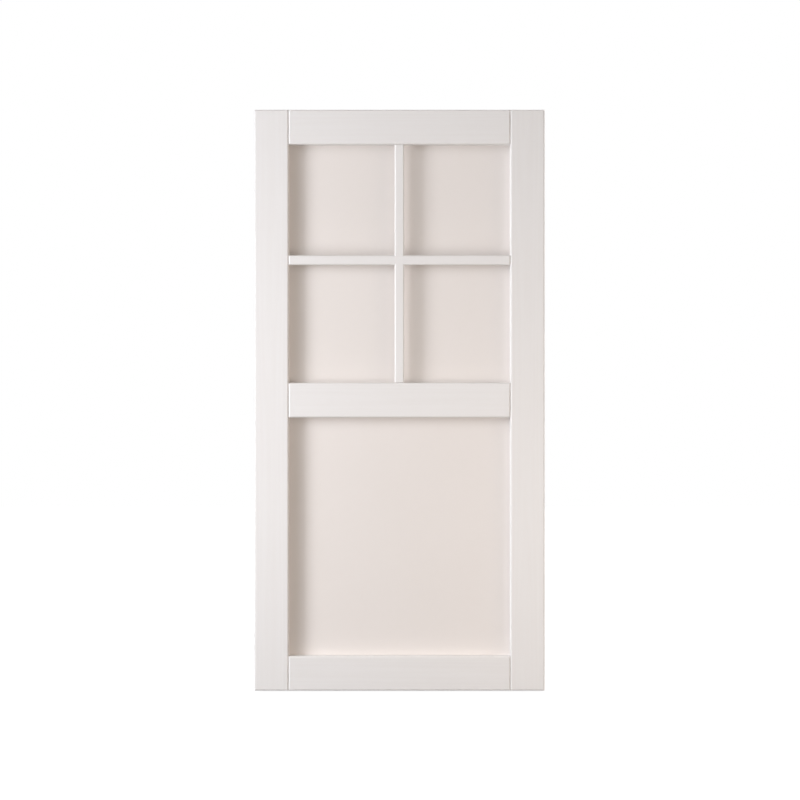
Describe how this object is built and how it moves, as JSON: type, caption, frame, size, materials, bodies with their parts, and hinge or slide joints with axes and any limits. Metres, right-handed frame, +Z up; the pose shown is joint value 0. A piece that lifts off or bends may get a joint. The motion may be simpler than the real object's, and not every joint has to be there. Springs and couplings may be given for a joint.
{
  "type": "barn door",
  "caption": "Painted frame-and-panel barn door with a flush bar grid over its upper panel; it hangs from its top edge and slides on a floor guide in a bottom groove.",
  "frame": {"origin": "centre of the top edge, at mid width and mid thickness", "axes": "+X to the right seen from the front, +Y from the front to the back, +Z up; the door hangs down from the origin"},
  "size_m": [1.067, 0.057, 2.134],
  "materials": {
    "frame_paint": "satin white paint over faint wood grain",
    "panel_paint": "smooth satin paint, a little warmer than the frame"
  },
  "bodies": {
    "root": {"left_stile": "frame_paint", "right_stile": "frame_paint", "top_rail": "frame_paint", "middle_rail": "frame_paint", "bottom_rail": "frame_paint", "upright_bar": "frame_paint", "cross_bar": "frame_paint", "upper_panel": "panel_paint", "lower_panel": "panel_paint", "upper_top_stop": "frame_paint", "upper_bottom_stop": "frame_paint", "upper_left_stop": "frame_paint", "upper_right_stop": "frame_paint", "lower_top_stop": "frame_paint", "lower_bottom_stop": "frame_paint", "lower_left_stop": "frame_paint", "lower_right_stop": "frame_paint"}
  },
  "joints": []
}
